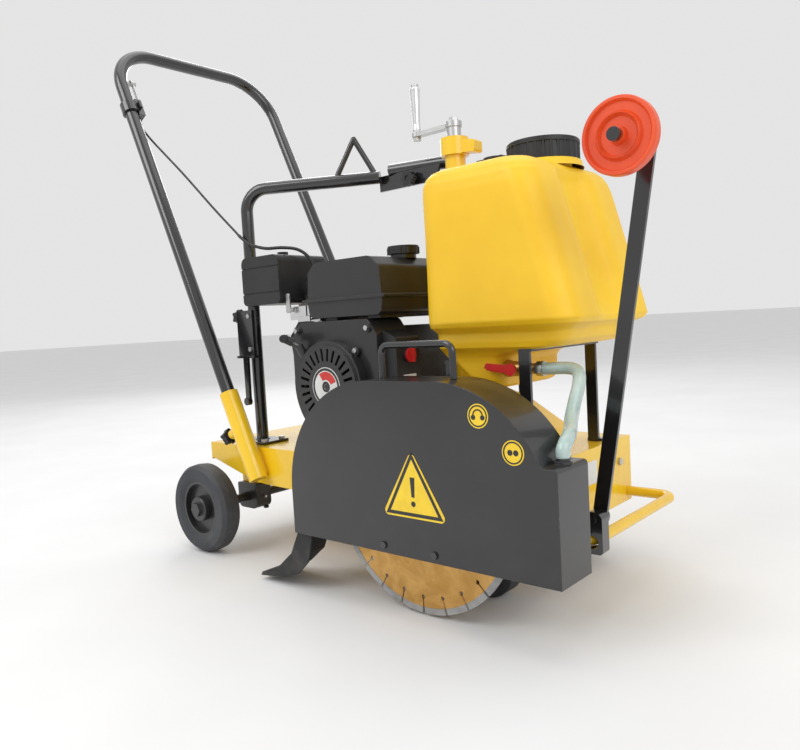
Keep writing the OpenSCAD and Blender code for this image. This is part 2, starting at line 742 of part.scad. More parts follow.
module column_knob() {
  color(BLACK) translate([412, -9, arch_z - 17]) rotate([90, 0, 0]) star_knob(15, 4, 14, 6);
}

module crank() {
  x = screw[0];
  color(STEEL) {
    translate([x, 0, 240]) cylinder(h = arm_z + 8 - 240, r = screw_r);
    translate([x, 0, housing_top + 0.5]) cylinder(h = arm_z - housing_top - 0.5, r = 13);
    translate([x, 0, arm_z]) cylinder(h = 10, r = 15);
    translate([x, 0, arm_z + 10]) cylinder(h = 8, r = 9, $fn = 6);
    difference() {
      union() {
        box([x - crank_throw, -8, arm_z], [x, 8, arm_z + 8]);
        translate([x - crank_throw, 0, arm_z]) cylinder(h = 8, r = 10);
      }
      translate([x - crank_throw, 0, arm_z - 1]) cylinder(h = 10, r = 4);
    }
    translate([x - crank_throw, 0, arm_z - 7]) cylinder(h = 7, r = 8, $fn = 6);
    translate([x - crank_throw, 0, arm_z - 1]) cylinder(h = grip_length + 14, r = 4);
    translate([x - crank_throw, 0, arm_z + grip_length + 10]) cylinder(h = 4, r = 7);
  }
}

module crank_grip() {
  color([0.85, 0.85, 0.86]) translate([screw[0] - crank_throw, 0, arm_z + 9]) rotate_extrude()
    polygon([[4 + fit, 0], [6.5, 0], [8, 5], [7, 14], [9.5, grip_length - 10], [10, grip_length - 4],
      [8, grip_length], [4 + fit, grip_length]]);
}

module lift_rod() {
  x = screw[0];
  color(STEEL) difference() {
    union() {
      translate([x, 0, 100]) cylinder(h = 235, r = rod_r);
      box([x - 18, -22, bar[1] - 17], [x + 30, 22, bar[1] + 19]);
    }
    translate([x, 0, 130]) cylinder(h = 210, r = screw_r + fit);
    side_plate(-23, 23) rounded([[x - bar_r - 3, bar[1] - 10], [x + 24, bar[1] - 10],
      [x + 24, bar[1] + 10], [x - bar_r - 3, bar[1] + 10]], [9, 9, 9, 9]);
  }
}

module carriage() {
  color(YELLOW) {
    for (s = [-1, 1]) difference() {
      union() {
        side_plate(s > 0 ? arm_y : -arm_y - arm_t, s > 0 ? arm_y + arm_t : -arm_y)
          polygon([[pivot[0], pivot[1] + 16], [bar[0], bar[1] + 17], [560, 64], [612, 58], [front_x,
              66], [front_x, 34],
            [560, 34], [bar[0] - 10, bar[1] - 18], [pivot[0], pivot[1] - 16]]);
        cross_bar(pivot[0], pivot[1], 16, s > 0 ? arm_y : -arm_y - arm_t, s > 0 ? arm_y + arm_t : -arm_y);
        cross_bar(front_x, front_r, 16, s > 0 ? arm_y : -arm_y - arm_t, s > 0 ? arm_y + arm_t : -arm_y);
      }
      cross_bar(front_x, front_r, front_axle_r + fit, -60, 60);
    }
    cross_bar(pivot[0], pivot[1], pivot_r, -66, 66);
    cross_bar(bar[0], bar[1], bar_r, -arm_y, arm_y);
    cross_bar(385, 122, 10, -arm_y, arm_y);
  }
}

module front_tyres() {
  color("dimgray") for (y = [-front_y - front_wheel_w, front_y]) difference() {
    cross_bar(front_x, front_r, front_r, y, y + front_wheel_w);
    cross_bar(front_x, front_r, 20, y - 1, y + front_wheel_w + 1);
  }
}

module front_axle() {
  color(STEEL) {
    cross_bar(front_x, front_r, front_axle_r, -front_y - front_wheel_w - 10, front_y + front_wheel_w + 10);
    for (y = [-front_y - front_wheel_w, front_y]) cross_bar(front_x, front_r, 20, y, y + front_wheel_w);
  }
}

module rear_tyres() {
  color("dimgray") for (s = [-1, 1]) translate([0, s * rear_y, rear_r]) rotate([90, 0, 0])
      rotate_extrude() {
    h = rear_wheel_w / 2;
    polygon([[58, -h + 5], [58, h - 5], [64, h - 2], [70, h], [rear_r - 8, h], [rear_r - 1.5, h - 8],
        [rear_r, 0],
      [rear_r - 1.5, -h + 8], [rear_r - 8, -h], [70, -h], [64, -h + 2]]);
  }
}

module rear_axle() {
  color(BLACK) {
    cross_bar(0, rear_r, rear_axle_r, -rear_y - 26, rear_y + 26);
    for (s = [-1, 1]) translate([0, s * rear_y, rear_r]) rotate([90, 0, 0]) rotate_extrude()
      polygon([[0, -22], [24, -22], [26, -20], [26, -5], [50, -5], [52, -17], [58, -17], [58, 17],
        [52, 17], [50, 5], [26, 5], [26, 20], [24, 22], [0, 22]]);
    for (s = [-1, 1]) translate([0, s * (rear_y + 22), rear_r]) rotate([s > 0 ? -90 : 90, 0, 0])
      cylinder(h = 7, r = 15, $fn = 6);
  }
}

module blade_shaft() {
  x = spindle[0];
  z = spindle[1];
  near = blade_y - core_t / 2;
  far = blade_y + core_t / 2;
  color(STEEL) {
    cross_bar(x, z, shaft_r, blade_y - 32, 112);
    cross_bar(x, z, flange_r, far, far + 11);
    cross_bar(x, z, 19, far, far + 28);
    cross_bar(x, z, flange_r, near - 11, near);
    hex_bolt([x, near - 11, z], [90, 0, 0], 19, 14);
    pulley(spindle, blade_pulley_r);
  }
}

module blade_core() {
  pitch = 360 / segments;
  color("goldenrod") side_plate(blade_y - core_t / 2, blade_y + core_t / 2) translate(spindle)
      difference() {
    circle(blade_r - segment_h);
    circle(shaft_r);
    for (i = [0 : segments - 1]) rotate(i * pitch) {
      translate([blade_r - segment_h - 16, -1.3]) square([20, 2.6]);
      translate([blade_r - segment_h - 16, 0]) circle(3.4);
    }
  }
}

module blade_segments() {
  pitch = 360 / segments;
  color("gray") translate([spindle[0], blade_y, spindle[1]]) rotate([90, 0, 0]) for (i = [0 : segments - 1])
    rotate([0, 0, i * pitch + 0.7]) rotate_extrude(angle = pitch - 1.4)
      translate([blade_r - segment_h, -segment_t / 2]) square([segment_h, segment_t]);
}

module engine_pulley() {
  color(STEEL) {
    pulley(motor, motor_pulley_r);
    cross_bar(motor[0], motor[1], shaft_r, 24, 112);
    hex_bolt([motor[0], 112, motor[1]], [-90, 0, 0], 10, 6);
  }
}

// guard outline, w inside the outer skin
module guard_outline(w) {
  r = guard_corner - w;
  intersection() {
    rounded([[guard_x0 + w, guard_low - w], [guard_x1 - w, guard_low - w], [guard_x1 - w, guard_top - w],
      [guard_x0 + w, guard_top - w]], [0, 0, r, r]);
    translate([guard_x0, guard_low - w]) square([guard_x1 - guard_x0, guard_top]);
  }
  rounded([[guard_box_x + w, guard_low - w], [guard_x1 + 6 - w, guard_low - w], [guard_x1 + 6 - w,
      guard_box_top - w],
    [guard_box_x + w, guard_box_top - w]], [0, 0, 6, 0]);
}
module blade_guard() {
  color(BLACK) {
    difference() {
      side_plate(-guard_out, -guard_in) guard_outline(0);
      side_plate(-guard_out + guard_wall, -guard_in - guard_back_t) guard_outline(guard_wall);
      cross_bar(spindle[0], spindle[1], boss_r + fit, -guard_in - guard_back_t - 1, -guard_in + 1);
      box([guard_x0 + guard_wall, -guard_out + guard_wall, guard_low - 10],
        [guard_x1 - guard_wall, -guard_in - guard_back_t, guard_low + 1]);
    }
    // water inlet on the front box
    translate([inlet_x, -262, guard_box_top]) cylinder(h = 4, r = 13, $fn = 6);
    translate([inlet_x, -262, guard_box_top + 4]) cylinder(h = 4, r = 9);
  }
}

module guard_handle() {
  z = guard_top;
  color(STEEL) {
    translate([0, -262, 0]) rotate([90, 0, 0])
      bent([[spindle[0] - 60, z], [spindle[0] - 60, z + 52], [spindle[0] + 80, z + 52],
          [spindle[0] + 80, z]], 14, 5.5);
    for (x = [-40, 60]) hex_bolt([spindle[0] + x, -guard_out, guard_low + 12], [90, 0, 0], 6, 3);
    // two screws that hold the rubber flap
    for (y = [-285, -240]) hex_bolt([guard_x0, y, 148], [0, -90, 0], 6, 4);
  }
}

module guard_flap() {
  x = guard_x0;
  back = [[x + 3, 140], [x + 3, 104], [x - 18, 64], [x - 56, 33], [x - 104, 15], [x - 108, 8]];
  color([0.13, 0.13, 0.13]) {
    side_plate(-guard_out + 5, -guard_in - 6)
      polygon(concat(back, [[x - 52, 24], [x - 12, 56], [x + 9, 100], [x + 9, 140]]));
    side_plate(-guard_out + 3, -guard_out + 6)
      polygon(concat(back, [[x - 40, 16], [x - 2, 30], [x + 26, 56], [x + 38, 96], [x + 40, 140]]));
  }
}

module guard_labels() {
  t = 0.4;
  y = -guard_out;
  c = [guard_x1 - guard_corner, guard_top - guard_corner];
  color("yellow") {
    for (a = [61.4, 36.4]) cross_bar(c[0] + 164 * cos(a), c[1] + 164 * sin(a), 17, y - t, y);
    side_plate(y - t, y) translate(spindle) rounded([[-38, -12], [88, -12], [25, 91]], [7, 7, 7]);
  }
}

module water_hose() {
  color([0.7, 0.9, 0.88]) cord(HOSE, 10, 12);
}

module in_pointer() {
  translate([point_pivot[0], 0, point_pivot[2]]) rotate([0, point_lean, 0]) children();
}
module pointer_arm() {
  y = point_pivot[1];
  color(BLACK) {
    in_pointer() {
      box([-11, y - 3, 0], [11, y + 3, pointer_length + 18]);
      cross_bar(0, 0, 14, y - 3, y + 3);
      cross_bar(0, pointer_length + 18, 11, y - 3, y + 3);
      cross_bar(0, pointer_length, 5, -218, y);
      cross_bar(0, pointer_length, 9, -188 + gap, y - 3);
      cross_bar(0, pointer_length, 9, -222, -216);
      cross_bar(0, 0, 6, y - 28, y + 10);
      cross_bar(0, 0, 11, y + 3, y + 10);
    }
  }
}

module pointer_wheel() {
  r = pointer_wheel_r;
  color("orangered") in_pointer() translate([0, -200, pointer_length]) rotate([90, 0, 0]) rotate_extrude()
    polygon([[5 + fit, -12], [10, -12], [12, -4], [r - 26, -4], [r - 22, -10], [r - 18, -4],
      [r - 8, -4], [r - 5, -9], [r - 1, -9], [r, -6], [r, 6], [r - 1, 9], [r - 5, 9], [r - 8, 4],
      [r - 18, 4], [r - 22, 10], [r - 26, 4], [12, 4], [10, 12], [5 + fit, 12]]);
}

module valve_handle() {
  x = valve[0] + 25;
  y = valve[1] - 22 - gap;
  color("red") {
    cross_bar(x, valve[2], 10, y - 5, y);
    side_plate(y - 4, y) polygon([[x, valve[2] - 7], [x, valve[2] + 7], [x - 46, valve[2] + 11],
      [x - 50, valve[2] + 4], [x - 44, valve[2] - 1]]);
  }
}

module tank_cap() {
  z = tank_top + 10 + gap;
  color(BLACK) translate([neck[0], neck[1], z]) difference() {
    union() {
      cylinder(h = 38, r = cap_r - 2);
      translate([0, 0, 30]) cylinder(h = 6, r = cap_r);
      for (i = [0 : 29]) rotate([0, 0, i * 12]) translate([cap_r - 3, 0, 0]) cylinder(h = 30, r = 2.6,
          $fn = 16);
    }
    translate([0, 0, -1]) cylinder(h = 31, r = neck_r + 1);
    translate([0, 0, 34]) cylinder(h = 5, r = 26);
  }
}

module fuel_cap() {
  color(BLACK) translate([425, -60, 584.5]) difference() {
    union() {
      cylinder(h = 15, r = 29);
      for (i = [0 : 11]) rotate([0, 0, i * 30]) translate([28, 0, 0]) cylinder(h = 12, r = 3, $fn = 16);
    }
    translate([0, 0, 12]) cylinder(h = 4, r = 16);
  }
}

module recoil_grip() {
  p = unit(pull);
  color(BLACK) {
    bar_between(grip_at - 2 * p, grip_at + 14 * p, 8);
    bar_between(grip_at + 16 * p - 22 * unit([1, -1, 0]), grip_at + 16 * p + 22 * unit([1, -1, 0]), 7.5);
  }
}

module starter_rope() {
  p = unit(pull);
  color("gray") bar_between(grip_at - 12 * p, grip_at - 2.2 * p, 2);
}

module choke_lever() {
  color(STEEL) {
    cross_bar(224, 494, 4, -175, -167);
    side_plate(-178, -175) rounded([[218, 488], [231, 488], [229, 526], [220, 526]], [4, 4, 4, 4]);
  }
}

module switch_rocker() {
  color("red") {
    translate([485 + gap, -128, 400]) rotate([0, 90, 0]) cylinder(h = 4, r = 13);
    box([487, -131, 388], [496, -125, 412]);
  }
}

deck();
handle_sockets();
axle_housings();
front_bumper();
lifting_frame();
screw_column();
tank_stand();
water_tank();
tank_strap();
outlet_valve();
belt_guard();
drive_belts();
engine_block();
cylinder_shroud();
fan_cover();
recoil_cover();
fuel_tank();
air_cleaner();
carburettor();
muffler();
switch_box();
control_bracket();
bearing_blocks();
pointer_bracket();
fasteners();
labels();
handlebar();
throttle_bracket();
throttle_cable();
throttle_lever();
socket_knob_near();
socket_knob_far();
frame_knob();
column_knob();
crank();
crank_grip();
lift_rod();
carriage();
front_tyres();
front_axle();
rear_tyres();
rear_axle();
blade_shaft();
blade_core();
blade_segments();
engine_pulley();
blade_guard();
guard_handle();
guard_flap();
guard_labels();
water_hose();
pointer_arm();
pointer_wheel();
valve_handle();
tank_cap();
fuel_cap();
recoil_grip();
starter_rope();
choke_lever();
switch_rocker();
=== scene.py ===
import bpy
import math
import numpy as np
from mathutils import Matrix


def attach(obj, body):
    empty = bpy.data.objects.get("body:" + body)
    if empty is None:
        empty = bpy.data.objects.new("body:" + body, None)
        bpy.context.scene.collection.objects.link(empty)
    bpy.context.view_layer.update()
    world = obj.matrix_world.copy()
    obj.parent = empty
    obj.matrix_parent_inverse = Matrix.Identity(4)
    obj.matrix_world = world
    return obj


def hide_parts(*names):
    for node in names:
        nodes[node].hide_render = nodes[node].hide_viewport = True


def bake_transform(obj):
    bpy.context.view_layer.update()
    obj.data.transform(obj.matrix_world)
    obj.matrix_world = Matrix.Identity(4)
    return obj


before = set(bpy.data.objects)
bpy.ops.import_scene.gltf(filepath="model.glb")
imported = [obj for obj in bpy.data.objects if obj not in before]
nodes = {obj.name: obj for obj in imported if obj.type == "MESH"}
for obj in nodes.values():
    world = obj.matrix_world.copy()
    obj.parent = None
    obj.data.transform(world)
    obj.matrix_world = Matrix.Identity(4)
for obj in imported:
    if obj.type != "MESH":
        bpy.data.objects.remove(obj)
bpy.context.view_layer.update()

# camera
cameraSpec = dict(place=(1.32, -1.11, 0.46), turn=(85.795, 3.239, 40.998), lens=32.85)
cameraData = bpy.data.cameras.new("camera")
cameraData.lens = cameraSpec["lens"]
cameraData.sensor_width = 36
cameraData.clip_end = 50
cameraData.dof.use_dof = False
camera = bpy.data.objects.new("camera", cameraData)
camera.location = cameraSpec["place"]
camera.rotation_euler = [math.radians(a) for a in cameraSpec["turn"]]
bpy.context.scene.collection.objects.link(camera)
bpy.context.scene.camera = camera
print("camera")


# shader maths
class Sock:
    def __init__(self, tree, socket):
        self.tree, self.socket = tree, socket

    def node(self, kind, inputs=(), out=0, **settings):
        made = self.tree.nodes.new("ShaderNode" + kind)
        for key, value in settings.items():
            setattr(made, key, value)
        for key, value in dict(inputs).items():
            plug(self.tree, value, made.inputs[key])
        return Sock(self.tree, made.outputs[out])

    def math(self, op, other=0.0, third=0.0):
        return self.node("Math", {0: self, 1: other, 2: third}, operation=op)

    def __add__(self, other):
        return self.math("ADD", other)

    def __radd__(self, other):
        return self.math("ADD", other)

    def __sub__(self, other):
        return self.math("SUBTRACT", other)

    def __rsub__(self, other):
        return self.node("Math", {0: other, 1: self}, operation="SUBTRACT")

    def __mul__(self, other):
        return self.math("MULTIPLY", other)

    def __pow__(self, other):
        return self.math("POWER", other)

    def step(self, low, high):
        return self.node("MapRange", {0: self, 1: low, 2: high}, interpolation_type="SMOOTHSTEP")

    def mix(self, a, b):
        return self.node("Mix", {0: self, 6: a, 7: b}, out=2, data_type="RGBA")


def plug(tree, value, target):
    if isinstance(value, Sock):
        tree.links.new(value.socket, target)
    elif isinstance(value, (tuple, list)) and len(value) == 3 and len(target.default_value) == 4:
        target.default_value = (*value, 1.0)
    else:
        target.default_value = value


class Shade:
    def __init__(self, name):
        self.material = bpy.data.materials.new(name)
        self.material.use_nodes = True
        self.tree = self.material.node_tree
        self.bsdf = self.tree.nodes["Principled BSDF"]
        coords = self.tree.nodes.new("ShaderNodeTexCoord")
        self.at = Sock(self.tree, coords.outputs["Object"])
        self.heights = []

    def noise(self, scale, detail=3.0, rough=0.55, stretch=None, warp=0.0):
        where = self.at
        if stretch is not None:
            where = self.at.node("Mapping", {"Vector": self.at, "Scale": stretch})
        settings = {"Vector": where, "Scale": scale, "Detail": detail, "Roughness": rough,
                    "Distortion": warp}
        return where.node("TexNoise", settings)

    def cells(self, scale, feature="F1"):
        return self.at.node("TexVoronoi", {"Vector": self.at, "Scale": scale}, feature=feature)

    def axis(self, which):
        return self.at.node("SeparateXYZ", {0: self.at}, out=which)

    # how far a bevelled normal turns from the flat one, which is high along edges
    def edges(self, radius):
        soft = self.at.node("Bevel", {"Radius": radius}, samples=4)
        true = Sock(self.tree, self.tree.nodes.new("ShaderNodeNewGeometry").outputs["Normal"])
        dot = soft.node("VectorMath", {0: soft, 1: true}, out="Value", operation="DOT_PRODUCT")
        return (1.0 - dot).step(0.02, 0.28)

    def bump(self, height, strength, distance):
        self.heights.append((height, strength, distance))

    def finish(self, color, rough, metallic=0.0, bevel=0.0012, coat=None, **constants):
        plug(self.tree, color, self.bsdf.inputs["Base Color"])
        plug(self.tree, rough, self.bsdf.inputs["Roughness"])
        plug(self.tree, metallic, self.bsdf.inputs["Metallic"])
        if coat is not None:
            plug(self.tree, coat, self.bsdf.inputs["Coat Weight"])
        for key, value in constants.items():
            plug(self.tree, value, self.bsdf.inputs[key.replace("_", " ")])
        normal = self.at.node("Bevel", {"Radius": bevel}, samples=4) if bevel else None
        for height, strength, distance in self.heights:
            bump = {"Height": height, "Strength": strength, "Distance": distance}
            if normal is not None:
                bump["Normal"] = normal
            normal = self.at.node("Bump", bump)
        if normal is not None:
            plug(self.tree, normal, self.bsdf.inputs["Normal"])
        return self.material


# dust that gathers on upward faces and low down, 0 to 1
def dustOn(s, floorReach=0.25):
    up = Sock(s.tree, s.tree.nodes.new("ShaderNodeNewGeometry").outputs["Normal"])
    lift = up.node("SeparateXYZ", {0: up}, out=2).step(0.2, 1.0)
    low = 1.0 - s.axis(2).step(0.02, floorReach)
    patches = s.noise(9, 6, 0.62).step(0.46, 0.72)
    return (lift * 0.5 + low * 0.55) * patches


def paint(name, color, deep, rough=0.24, bevel=0.0012, wear=0.5, dust=0.16, coat=0.5):
    bare = (0.34, 0.33, 0.32)
    s = Shade(name)
    drift = s.noise(5, 4, 0.6)
    tone = drift.step(0.3, 0.7).mix(deep, color)
    scuff = s.noise(46, 8, 0.7, warp=0.6)
    worn = (s.edges(bevel * 1.6) * scuff.step(0.54, 0.68)) * wear
    streak = s.noise(30, 4, 0.6, stretch=(1, 1, 0.12)).step(0.62, 0.8) * 0.12
    dirt = dustOn(s) * dust
    dusty = dirt.mix(streak.mix(tone, deep), (0.36, 0.34, 0.3))
    chipped = worn.mix(dusty, bare)
    specks = s.noise(900, 2, 0.5)
    s.bump(s.noise(260, 2, 0.5), 0.05, 0.0006)
    s.bump(specks, 0.03, 0.0002)
    s.bump(worn, 0.2, 0.0003)
    return s.finish(chipped, rough + drift * 0.1 + dirt * 0.9 + worn * 0.25 + specks * 0.03,
                    bevel=bevel, coat=coat - dirt * 0.8, Coat_Roughness=0.08)


def plastic(name, color, deep, rough=0.42, grain=900.0, depth=0.0003, bevel=0.0012, dust=0.14):
    s = Shade(name)
    drift = s.noise(12, 4, 0.6)
    tone = drift.step(0.3, 0.7).mix(deep, color)
    dirt = dustOn(s, 0.3) * dust
    rub = s.edges(bevel * 1.5) * s.noise(60, 5, 0.6).step(0.45, 0.7) * 0.35
    pale = tuple(min(1.0, c * 1.6 + 0.05) for c in color)
    fine = s.noise(grain, 3, 0.6)
    s.bump(fine, 0.22, depth)
    s.bump(drift, 0.05, 0.0012)
    return s.finish(rub.mix(dirt.mix(tone, (0.33, 0.31, 0.28)), pale),
                    rough + fine * 0.12 + dirt * 0.6 - rub * 0.2, bevel=bevel)


def metal(name, color, deep, rough=0.3, brushed=(1, 1, 1), grain=300.0, spots=0.15, metallic=1.0,
          bevel=0.0008):
    s = Shade(name)
    drift = s.noise(14, 5, 0.65)
    lines = s.noise(grain, 4, 0.6, stretch=brushed)
    stain = s.noise(34, 7, 0.7, warp=1.2).step(0.55, 0.75) * spots
    tone = stain.mix(drift.step(0.3, 0.7).mix(deep, color), (0.2, 0.16, 0.12))
    s.bump(lines, 0.12, 0.0002)
    s.bump(stain, 0.15, 0.0003)
    return s.finish(tone, rough + lines * 0.14 + drift * 0.08 + stain * 0.5,
                    metallic=metallic - stain * 0.5, bevel=bevel)


def rubber(name, color, deep, rough=0.62, bevel=0.0018, dust=0.3):
    s = Shade(name)
    drift = s.noise(10, 5, 0.65)
    fine = s.noise(700, 4, 0.65)
    dirt = dustOn(s, 0.16) * dust + s.noise(70, 5, 0.7).step(0.55, 0.8) * 0.1
    s.bump(fine, 0.25, 0.0003)
    s.bump(drift, 0.1, 0.001)
    return s.finish(dirt.mix(drift.step(0.3, 0.7).mix(deep, color), (0.3, 0.28, 0.26)),
                    rough + fine * 0.14 + dirt * 0.4, bevel=bevel)


mat = {}
mat["yellow"] = paint("yellow_paint", (0.90, 0.58, 0.012), (0.82, 0.50, 0.008), rough=0.2)
mat["blackGloss"] = paint("black_gloss_paint", (0.012, 0.012, 0.014), (0.008, 0.008, 0.009),
                          rough=0.14, dust=0.1, wear=0.35, coat=0.8)
mat["blackSatin"] = paint("black_satin_paint", (0.018, 0.018, 0.020), (0.011, 0.011, 0.012),
                          rough=0.34, dust=0.1, wear=0.4, coat=0.25)
mat["guardBlack"] = paint("guard_satin_paint", (0.013, 0.013, 0.015), (0.008, 0.008, 0.009),
                          rough=0.26, dust=0.06, wear=0.4, coat=0.45, bevel=0.003)
mat["engineBlack"] = paint("engine_black", (0.016, 0.016, 0.018), (0.010, 0.010, 0.011),
                           rough=0.3, dust=0.08, wear=0.25, coat=0.3, bevel=0.003)
mat["castIron"] = metal("cast_block", (0.10, 0.10, 0.105), (0.06, 0.06, 0.062),
                        rough=0.5, grain=160, metallic=0.7, bevel=0.002)
mat["blackPlastic"] = plastic("black_plastic", (0.016, 0.016, 0.018), (0.010, 0.010, 0.011), rough=0.38)
mat["redPlastic"] = plastic("red_plastic", (0.62, 0.02, 0.015), (0.46, 0.012, 0.01), rough=0.3, dust=0.06)
mat["orangeRed"] = plastic("orange_red_plastic", (0.80, 0.085, 0.015), (0.66, 0.06, 0.012),
                           rough=0.28, dust=0.05)
mat["zinc"] = metal("zinc_steel", (0.62, 0.62, 0.61), (0.5, 0.5, 0.5), rough=0.26)
mat["alloy"] = metal("polished_alloy", (0.80, 0.80, 0.81), (0.7, 0.7, 0.71),
                     rough=0.14, brushed=(1, 1, 0.1), spots=0.05)
mat["brass"] = metal("brass", (0.72, 0.50, 0.20), (0.6, 0.38, 0.14), rough=0.26)
mat["muffler"] = metal("heat_steel", (0.32, 0.30, 0.28), (0.24, 0.2, 0.17), rough=0.42, spots=0.5)
mat["rubberBlack"] = rubber("black_rubber", (0.018, 0.018, 0.019), (0.012, 0.012, 0.012))
mat["tyre"] = rubber("tyre_rubber", (0.040, 0.043, 0.050), (0.028, 0.030, 0.036), rough=0.55)


# rotomoulded tank: soft pebbled skin, a little light let in
def tankMaterial():
    s = Shade("tank_plastic")
    drift = s.noise(4, 4, 0.6)
    tone = drift.step(0.3, 0.7).mix((0.84, 0.50, 0.012), (0.93, 0.60, 0.018))
    dirt = dustOn(s, 0.3) * 0.1
    pebble = s.noise(420, 3, 0.6)
    ripple = s.noise(16, 3, 0.5)
    s.bump(pebble, 0.2, 0.0004)
    s.bump(ripple, 0.25, 0.002)
    return s.finish(dirt.mix(tone, (0.4, 0.34, 0.24)), 0.34 + pebble * 0.12 + drift * 0.08, bevel=0,
                    Subsurface_Weight=0.12, Subsurface_Scale=0.01, Subsurface_Radius=(1.0, 0.5, 0.1))


# rolled blade core: bronze lacquer with fine turned rings about the spindle
def bladeMaterial(segment):
    s = Shade("segment_metal" if segment else "blade_core_metal")
    dx = s.axis(0) - spindle[0]
    dz = s.axis(2) - spindle[1]
    radius = (dx * dx + dz * dz) ** 0.5
    rings = (radius * 2600.0 + s.noise(30, 3, 0.5) * 6.0).math("SINE") * 0.5 + 0.5
    wear = s.noise(22, 6, 0.7, warp=0.8)
    if segment:
        tone = wear.step(0.35, 0.65).mix((0.30, 0.30, 0.30), (0.42, 0.42, 0.41))
        grit = s.cells(1500)
        s.bump(grit, 0.5, 0.0003)
        return s.finish(tone, 0.5 + wear * 0.2, metallic=0.6, bevel=0.0004)
    tone = wear.step(0.35, 0.7).mix((0.50, 0.27, 0.07), (0.68, 0.40, 0.13))
    scratch = s.noise(120, 5, 0.7, stretch=(1, 1, 0.08)).step(0.6, 0.75) * 0.3
    s.bump(rings, 0.06, 0.0001)
    return s.finish(scratch.mix(tone, (0.7, 0.66, 0.55)), 0.26 + rings * 0.08 + wear * 0.12,
                    metallic=0.85, bevel=0.0003)


def hoseMaterial():
    s = Shade("clear_hose")
    drift = s.noise(30, 4, 0.6)
    s.bump(s.noise(300, 2, 0.5), 0.08, 0.0004)
    return s.finish(drift.step(0.3, 0.7).mix((0.50, 0.66, 0.62), (0.66, 0.80, 0.77)),
                    0.12 + drift * 0.12, bevel=0, coat=0.5, Transmission_Weight=0.35, IOR=1.38,
                    Subsurface_Weight=0.2, Subsurface_Scale=0.006)


def filmMaterial(name, color, deep):
    s = Shade(name)
    fade = s.noise(26, 5, 0.65)
    nick = s.noise(150, 6, 0.7).step(0.66, 0.75) * 0.5
    s.bump(fade, 0.05, 0.0004)
    return s.finish(nick.mix(fade.step(0.3, 0.7).mix(deep, color), (0.3, 0.3, 0.28)),
                    0.3 + fade * 0.14 + nick * 0.3, bevel=0, coat=0.2)


# x, z of the blade spindle and of the engine's crankshaft
spindle = (0.6, 0.179)
motor = (0.339, 0.348)
mat["tank"] = tankMaterial()
mat["core"] = bladeMaterial(False)
mat["segment"] = bladeMaterial(True)
mat["hose"] = hoseMaterial()
mat["yellowFilm"] = filmMaterial("yellow_film", (0.88, 0.62, 0.02), (0.78, 0.52, 0.015))
mat["whiteFilm"] = filmMaterial("white_film", (0.72, 0.72, 0.70), (0.62, 0.62, 0.6))
mat["blackFilm"] = filmMaterial("black_film", (0.015, 0.015, 0.015), (0.01, 0.01, 0.01))
mat["redFilm"] = filmMaterial("red_film", (0.6, 0.03, 0.02), (0.5, 0.02, 0.015))
mat["rope"] = rubber("braided_rope", (0.36, 0.36, 0.34), (0.24, 0.24, 0.22), rough=0.7)

finishOf = {
    "yellow": ["deck", "handle_sockets", "front_bumper", "screw_column", "belt_guard", "carriage"],
    "blackGloss": ["handlebar", "lifting_frame", "pointer_arm", "tank_stand", "control_bracket",
                   "pointer_bracket", "throttle_bracket", "guard_handle"],
    "blackSatin": ["axle_housings", "bearing_blocks", "rear_axle"],
    "guardBlack": ["blade_guard"],
    "engineBlack": ["fan_cover", "recoil_cover", "fuel_tank", "cylinder_shroud"],
    "castIron": ["engine_block"],
    "blackPlastic": ["tank_strap", "air_cleaner", "switch_box", "socket_knob_near", "socket_knob_far",
                     "frame_knob", "column_knob", "tank_cap", "fuel_cap", "recoil_grip",
                     "throttle_cable"],
    "redPlastic": ["valve_handle", "switch_rocker"],
    "orangeRed": ["pointer_wheel"],
    "zinc": ["fasteners", "throttle_lever", "crank", "lift_rod", "front_axle", "blade_shaft",
             "engine_pulley", "choke_lever"],
    "alloy": ["crank_grip", "carburettor"],
    "brass": ["outlet_valve"],
    "muffler": ["muffler"],
    "rubberBlack": ["drive_belts", "guard_flap"],
    "tyre": ["front_tyres", "rear_tyres"],
    "tank": ["water_tank"],
    "core": ["blade_core"],
    "segment": ["blade_segments"],
    "hose": ["water_hose"],
    "yellowFilm": ["guard_labels"],
    "whiteFilm": ["labels"],
    "rope": ["starter_rope"],
}
for finish, names in finishOf.items():
    for name in names:
        data = nodes[name].data
        data.materials.clear()
        data.materials.append(mat[finish])
print("materials")


# mesh helpers
def makeMesh(name, points, faces, finish, smooth=True):
    data = bpy.data.meshes.new(name)
    data.from_pydata([tuple(map(float, p)) for p in points], [], [tuple(map(int, f)) for f in faces])
    data.validate()
    data.polygons.foreach_set("use_smooth", [smooth] * len(data.polygons))
    data.materials.append(mat[finish])
    obj = bpy.data.objects.new(name, data)
    bpy.context.scene.collection.objects.link(obj)
    return obj


# faces of a rows by cols grid, wrapped where asked
def gridFaces(rows, cols, wrapCols=False):
    r, c = np.meshgrid(np.arange(rows - 1), np.arange(cols if wrapCols else cols - 1), indexing="ij")
    n = (c + 1) % cols
    return np.stack([r * cols + c, r * cols + n, (r + 1) * cols + n, (r + 1) * cols + c], -1).reshape(-1, 4)


